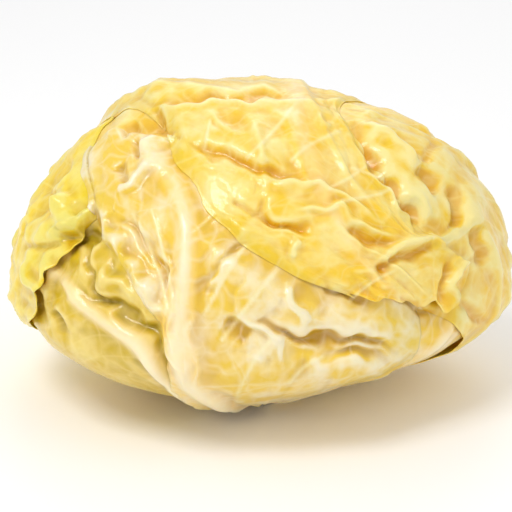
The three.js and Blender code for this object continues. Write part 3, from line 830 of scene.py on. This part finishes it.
def edge_flare(leaf, t, v):
    """How far the margins stand off the coats below, in millimetres."""
    flares = np.array([s[3:5] for s in leaf["stations"]], float)
    places = t * (len(flares) - 1)
    sides = [np.interp(places, np.arange(len(flares)), flares[:, n]) for n in (0, 1)]
    flare = np.where(v < 0, sides[0][:, None], sides[1][:, None])
    return flare * smoothstep(FLARE_START, 1, np.abs(v))


def surface_normals(points):
    """Unit normals of a grid of points."""
    down = np.gradient(points, axis=0)
    across = np.gradient(points, axis=1)
    return unit(np.cross(down, across))


def mesh_object(name, points, faces, marks, material):
    """An object from points in millimetres, with named values on its points."""
    mesh = bpy.data.meshes.new(name)
    mesh.vertices.add(len(points))
    mesh.vertices.foreach_set("co", (points * MM).astype(np.float32).ravel())
    mesh.loops.add(faces.size)
    mesh.loops.foreach_set("vertex_index", faces.astype(np.int32).ravel())
    mesh.polygons.add(len(faces))
    sides = faces.shape[1]
    mesh.polygons.foreach_set("loop_start", np.arange(0, faces.size, sides, dtype=np.int32))
    mesh.polygons.foreach_set("use_smooth", np.ones(len(faces), bool))
    for mark, values in marks.items():
        layer = mesh.attributes.new(mark, "FLOAT", "POINT")
        layer.data.foreach_set("value", values.astype(np.float32).ravel())
    mesh.materials.append(material)
    mesh.update(calc_edges=True)
    mesh.validate()
    piece = bpy.data.objects.new(name, mesh)
    bpy.context.scene.collection.objects.link(piece)
    return piece


def shell_faces(rows, columns):
    """Quads of a closed shell: the outer grid, the inner grid and the rim between them."""
    wide = columns + 1
    shift = (rows + 1) * wide
    a = (np.arange(rows)[:, None] * wide + np.arange(columns)[None, :]).ravel()
    outer = np.stack([a, a + 1, a + wide + 1, a + wide], axis=1)
    inner = shift + outer[:, ::-1]
    rim = np.concatenate([
        np.arange(columns),
        np.arange(rows) * wide + columns,
        rows * wide + np.arange(columns, 0, -1),
        np.arange(rows, 0, -1) * wide,
    ])
    following = np.roll(rim, -1)
    sides = np.stack([following, rim, shift + rim, shift + following], axis=1)
    return np.concatenate([outer, inner, sides])


def hollowness(height, stride, rounds):
    """How far each point lies below the mean of its surroundings, in millimetres."""
    height = height[..., None]
    mean = height[::stride, ::stride]
    for _ in range(rounds):
        mean = grid_smooth(mean)
    while mean.shape[0] < height.shape[0]:
        mean = finer(mean)
    return (mean - height)[..., 0]


def drawn_veins(points, normals):
    """1 on the veins drawn on the front sketch, where the surface faces it."""
    place = on_sketch(points)
    facing = smoothstep(0.05, 0.4, -(normals @ VIEW_FORWARD))
    vein = np.zeros(points.shape[:-1])
    for line, width in VEINS:
        gap, share = near_line(place, line)
        vein = np.maximum(vein, np.exp(-((gap / width) ** 2)) * smoothstep(0, 0.2, 1 - share))
    return vein * facing


def wilted_face(k, leaf, grid):
    """The outer face of leaf k after wilting, its outward normals and its lowest height. The skin
    can move where no leaf covers it, off the leaf's rib and edge and above what carries it."""
    t, v, over, d = grid
    radius, floor, coats = coat(k, d)
    flare = edge_flare(leaf, t, v) * (1 - smoothstep(0.0, 0.4, coats))
    rest = placed(d, radius + flare, floor)
    edge = np.abs(v) + 0 * over
    near_edge = smoothstep(EDGE_START, 1.0, edge)
    bare = 1 - smoothstep(0.02, 0.5, coats)
    lifted = smoothstep(1.0, 8.0, rest[..., 2] - floor)
    off_rib = 1 - RIB_HOLD * rib_lift(leaf, d) / leaf["rib"]
    flat_edge = near_edge * (1 - smoothstep(0.0, 1.0, flare))
    free = bare * lifted * off_rib * (1 - EDGE_HOLD * flat_edge)
    relief = leaf_relief(leaf, t, over, d, 100 * (k + 1)) * free
    pressed = (depth_below(k, d) - MARGIN_GAP) * flat_edge
    rest = placed(d, radius + flare + relief - pressed, floor)
    frill = leaf.get("frill", FRILL) * smoothstep(FRILL_START, 1.0, edge) * bare
    growth = GROWTH * leaf.get("wrinkled", 1.0) + frill
    low = -SINK + SINK_AT_EDGE * near_edge
    high = SWELL - (SWELL - SWELL_AT_EDGE) * near_edge + 1.2 * flare
    outer = wilt(rest, d, growth, free, low, high, seed=11 + k)
    normals = surface_normals(outer)
    if np.mean(np.sum(normals * d, axis=-1)) < 0:
        normals = -normals
    return outer, normals, floor


def leaf_shape(name):
    """Outer and inner face of a wilted leaf, with the marks that its colours follow."""
    k = ORDER.index(name)
    leaf = LEAVES[name]
    t, v, over, d = grid = leaf_grid(leaf, k)
    outer, normals, floor = wilted_face(k, leaf, grid)
    vein = drawn_veins(outer, normals)
    branch, branching = side_veins(leaf, t, v, over, d, 300 + k)
    bone = rib_lift(leaf, d) / leaf["rib"]
    fan = leaf.get("fan", 0.0) * bone ** 0.2 * (1 - smoothstep(0.15, 0.7, t))[:, None]
    outer = outer + normals * (VEIN_HEIGHT * vein)[..., None]
    edge = np.abs(v) + 0 * over
    thick = LEAF_THICKNESS * (1 - EDGE_THINNING * smoothstep(THINNING_START, 1, edge))
    ribbed = rib_lift(leaf, d) * (1 - smoothstep(EDGE_START, 1.0, edge))
    inner = outer - unit(normals + d) * (ribbed + thick)[..., None]
    inner[..., 2] = np.maximum(inner[..., 2], floor + thick)
    outer[..., 2] = np.maximum(outer[..., 2], floor)
    height = np.sum((outer - MIDDLE) * d, axis=-1) - plain_radius(d)
    # Painted shade in hollows and painted highlight on ridges follow the hollow and dip marks, weaker
    # away from the front
    tint = BACK_TINT + (1 - BACK_TINT) * toward_viewer(d)
    marks = dict(
        vein=vein,
        branch=branch,
        branching=branching,
        rib=np.maximum(bone * leaf.get("rib_tint", RIB_STRENGTH), fan),
        hollow=hollowness(height, *HOLLOW_REACH) * tint,
        dip=hollowness(height, *DIP_REACH) * tint,
    )
    return outer, inner, marks


def give(tree, socket, value):
    """Links another node's output to a socket, or sets the socket's own value."""
    if isinstance(value, bpy.types.NodeSocket):
        tree.links.new(value, socket)
    else:
        socket.default_value = value


def node(tree, kind, **inputs):
    """A new node, its inputs given by name with spaces as underscores."""
    made = tree.nodes.new(kind)
    for key, value in inputs.items():
        give(tree, made.inputs[key.replace("_", " ")], value)
    return made


def mark_value(tree, name):
    """A mark that the mesh carries on its points."""
    made = tree.nodes.new("ShaderNodeAttribute")
    made.attribute_name = name
    return made.outputs["Fac"]


def mixed(tree, factor, first, second):
    """The first colour, turning into the second by a factor."""
    made = tree.nodes.new("ShaderNodeMix")
    made.data_type = "RGBA"
    for socket, value in ((0, factor), (6, first), (7, second)):
        give(tree, made.inputs[socket], value)
    return made.outputs[2]


def ranged(tree, value, low, high, to_low, to_high):
    """A value mapped from one range to another and kept inside it."""
    made = node(tree, "ShaderNodeMapRange", Value=value)
    for key, number in (("From Min", low), ("From Max", high), ("To Min", to_low), ("To Max", to_high)):
        made.inputs[key].default_value = number
    return made.outputs["Result"]


def tinted(tree, colour, towards, mark, tint):
    """The colour, turning into another one with a mark of the mesh."""
    return mixed(tree, ranged(tree, mark_value(tree, mark), *tint), colour, towards)


def calculated(tree, operation, first, second):
    """The result of one sum on two values."""
    made = tree.nodes.new("ShaderNodeMath")
    made.operation = operation
    for socket, value in zip(made.inputs, (first, second)):
        give(tree, socket, value)
    return made.outputs[0]


def noise(tree, place, scale, detail):
    """A cloudy texture over the leaf."""
    return node(tree, "ShaderNodeTexNoise", Vector=place, Scale=scale, Detail=detail)


def vein_net(tree, place):
    """Strength of the net of finest veins, the edges of slightly stirred cells."""
    stir = noise(tree, place, *NET_STIR)
    shifted = tree.nodes.new("ShaderNodeMix")
    shifted.data_type = "VECTOR"
    shifted.inputs[0].default_value = NET_SHIFT
    tree.links.new(place, shifted.inputs[4])
    tree.links.new(stir.outputs["Color"], shifted.inputs[5])
    cells = tree.nodes.new("ShaderNodeTexVoronoi")
    cells.feature = "DISTANCE_TO_EDGE"
    cells.inputs["Scale"].default_value = NET_SCALE
    tree.links.new(shifted.outputs[1], cells.inputs["Vector"])
    return ranged(tree, cells.outputs["Distance"], *NET_TINT)


def side_vein_line(tree):
    """Strength of the side veins, evenly spaced by the distance at which they leave the rib."""
    branch = calculated(tree, "PINGPONG", mark_value(tree, "branch"), VEIN_SPACING / 2)
    line = ranged(tree, branch, *SIDE_VEIN_TINT)
    return calculated(tree, "MULTIPLY", line, mark_value(tree, "branching"))


def leaf_colour(tree, place, line, main, deep, pale):
    """Cloudy skin, pale on veins, with a pale painted highlight on ridges and painted shade in hollows.
    """
    main, deep, pale = (*main, 1), (*deep, 1), (*pale, 1)
    cloud = ranged(tree, noise(tree, place, *CLOUD).outputs["Fac"], *CLOUD_TINT)
    colour = mixed(tree, cloud, main, pale)
    speckle = ranged(tree, noise(tree, place, *SPECKLE).outputs["Fac"], *SPECKLE_TINT)
    colour = mixed(tree, speckle, colour, main)
    # Painted highlight on ridges
    colour = tinted(tree, colour, pale, "hollow", RIDGE_TINT)
    # Painted shade in wide dips and narrow hollows
    colour = tinted(tree, colour, deep, "dip", DIP_TINT)
    colour = tinted(tree, colour, deep, "hollow", HOLLOW_TINT)
    colour = mixed(tree, vein_net(tree, place), colour, pale)
    colour = mixed(tree, line, colour, pale)
    colour = tinted(tree, colour, VEIN_IVORY, "vein", VEIN_TINT)
    return tinted(tree, colour, RIB_IVORY, "rib", RIB_TINT)


def leaf_material(name, main, deep, pale):
    """Wet, slightly translucent leaf skin."""
    material = bpy.data.materials.new(name)
    material.use_nodes = True
    tree = material.node_tree
    tree.nodes.clear()
    place = tree.nodes.new("ShaderNodeTexCoord").outputs["Object"]
    line = side_vein_line(tree)
    colour = leaf_colour(tree, place, line, main, deep, pale)
    shader = node(tree, "ShaderNodeBsdfPrincipled", Base_Color=colour, **WET_SKIN)
    relief = calculated(tree, "ADD", noise(tree, place, *GRAIN).outputs["Fac"], line)
    bump = node(tree, "ShaderNodeBump", Height=relief, Strength=BUMP_STRENGTH, Distance=BUMP_DEPTH)
    tree.links.new(bump.outputs["Normal"], shader.inputs["Normal"])
    output = tree.nodes.new("ShaderNodeOutputMaterial")
    tree.links.new(shader.outputs["BSDF"], output.inputs["Surface"])
    return material


def dress(piece, cad_node):
    """Puts a piece in the place of a body of the frame."""
    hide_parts(cad_node)
    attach(piece, "root")


def make_leaf(name):
    """A wilted leaf as one closed shell, turned to face outwards."""
    leaf = LEAVES[name]
    outer, inner, marks = leaf_shape(name)
    rows, columns = leaf["grid"]
    points = np.concatenate([outer.reshape(-1, 3), inner.reshape(-1, 3)])
    faces = shell_faces(rows, columns)
    corner, after, _, before = points[faces[0]]
    if np.cross(after - corner, before - corner) @ (corner - MIDDLE) < 0:
        faces = faces[:, ::-1]
    both = {key: np.concatenate([m.ravel(), m.ravel()]) for key, m in marks.items()}
    material = leaf_material(name + "_skin", **LEAF_COLOURS[name])
    piece = mesh_object(name + "_wilted", points, faces, both, material)
    dress(piece, name)


def make_heart():
    """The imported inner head, one closed body under all the leaves."""
    rings, spokes = HEART_GRID
    tilt = np.linspace(-90, 90, rings + 1)[1:-1]
    turn = np.arange(spokes) / spokes * 360
    every = [direction(a, e) for e in tilt for a in turn]
    every = np.array(every + [direction(0, -90), direction(0, 90)])
    radius, floor, _ = coat(len(ORDER), every)
    points = placed(every, radius - HEART_GAP, floor + HEART_GAP)
    ring = np.arange(spokes)
    after = np.roll(ring, -1)
    faces = []
    for i in range(rings - 2):
        a, b = i * spokes + ring, i * spokes + after
        faces.append(np.stack([a, b, b + spokes], axis=1))
        faces.append(np.stack([a, b + spokes, a + spokes], axis=1))
    last = (rings - 2) * spokes
    low, high = np.full(spokes, len(every) - 2), np.full(spokes, len(every) - 1)
    faces.append(np.stack([after, ring, low], axis=1))
    faces.append(np.stack([last + ring, last + after, high], axis=1))
    material = leaf_material("inner_head_skin", **PALE)
    piece = mesh_object("inner_head_packed", points, np.concatenate(faces), {}, material)
    dress(piece, "inner_head")


def make_stem():
    """The cut stub of the stem, with a slightly sunken, ringed cut face."""
    aim = direction(*STEM_AIM)
    radius, _, _ = coat(0, aim)
    end = MIDDLE + aim * (float(radius) - STEM_RECESS)
    across = unit(np.cross(aim, [0.0, 0.0, 1.0]))
    up = np.cross(across, aim)
    # Share of the radius, and depth behind the cut in millimetres
    profile = [(0.35, 0.6), (0.7, 0.9), (0.9, 0.4), (0.98, 0.1), (1.0, 0.6)]
    profile += [(1.0 - STEM_TAPER * n / 6, STEM_LENGTH * n / 6) for n in range(1, 7)]
    spokes = STEM_SPOKES
    ring = np.arange(spokes)
    after = np.roll(ring, -1)
    turn = ring / spokes * 2 * np.pi
    circle = np.cos(turn)[:, None] * across + np.sin(turn)[:, None] * up
    points = [end]
    for share, depth in profile:
        lobed = STEM_RADIUS * share * (1 + STEM_LOBES * np.sin(5 * turn)[:, None])
        points.extend(end - aim * depth + circle * lobed)
    points.append(end - aim * STEM_LENGTH)
    points = np.array(points)
    faces = [np.stack([np.zeros(spokes, int), 1 + ring, 1 + after], axis=1)]
    for n in range(len(profile) - 1):
        a, b = 1 + n * spokes + ring, 1 + n * spokes + after
        faces.append(np.stack([a, a + spokes, b], axis=1))
        faces.append(np.stack([b, a + spokes, b + spokes], axis=1))
    last = 1 + (len(profile) - 1) * spokes
    centre = np.full(spokes, len(points) - 1)
    faces.append(np.stack([last + after, last + ring, centre], axis=1))
    marks = dict(rib=np.full(len(points), 0.5))
    material = leaf_material("stem_skin", **PALE)
    piece = mesh_object("stem_cut", points, np.concatenate(faces), marks, material)
    dress(piece, "stem")


def make_floor():
    """A white ground that belongs to the stage."""
    bpy.ops.mesh.primitive_plane_add(size=8, location=(0, 0, 0))
    floor = bpy.context.object
    floor.name = "floor"
    material = bpy.data.materials.new("floor_white")
    material.use_nodes = True
    shader = material.node_tree.nodes["Principled BSDF"]
    shader.inputs["Base Color"].default_value = (0.97, 0.97, 0.97, 1)
    shader.inputs["Roughness"].default_value = 0.6
    floor.data.materials.append(material)


def turned_towards(heading):
    """Rotation of a lamp or camera that looks along a heading."""
    return Vector(heading).to_track_quat("-Z", "Y").to_euler()


def make_light(name, place, size, power):
    """A square lamp that is aimed at the head, in metres and watts."""
    lamp = bpy.data.lights.new(name, "AREA")
    lamp.size = size
    lamp.energy = power
    lamp_object = bpy.data.objects.new(name, lamp)
    lamp_object.location = place
    lamp_object.rotation_euler = turned_towards(LIT_POINT - place)
    bpy.context.scene.collection.objects.link(lamp_object)


def make_camera():
    """The viewpoint of the front sketch."""
    camera = bpy.data.cameras.new("camera")
    camera.sensor_width = SENSOR_WIDTH
    camera.lens = SENSOR_WIDTH * VIEW_DISTANCE / (FRAME_WIDTH * SKETCH_UNIT)
    camera.shift_x = -(SKETCH_CENTRE[0] - FRAME_WIDTH / 2) / FRAME_WIDTH
    camera_object = bpy.data.objects.new("camera", camera)
    camera_object.location = VIEW_POINT * MM
    camera_object.rotation_euler = turned_towards(VIEW_FORWARD)
    bpy.context.scene.collection.objects.link(camera_object)
    bpy.context.scene.camera = camera_object


def make_world():
    """Even white light from all sides."""
    world = bpy.data.worlds.new("studio")
    world.use_nodes = True
    sky = world.node_tree.nodes["Background"]
    sky.inputs["Color"].default_value = (1, 1, 1, 1)
    sky.inputs["Strength"].default_value = 0.7
    bpy.context.scene.world = world


for leaf in LEAVES.values():
    prepare(leaf)
for name in ORDER:
    make_leaf(name)
make_heart()
make_stem()
make_floor()
make_world()
make_camera()
make_light("key", (-0.5, -0.6, 1.2), 0.5, 8)
make_light("fill", (1.2, -0.8, 0.8), 1.2, 3)
make_light("back", (0.1, 1.3, 1.2), 1.0, 4)
bpy.context.scene.view_settings.view_transform = "Standard"
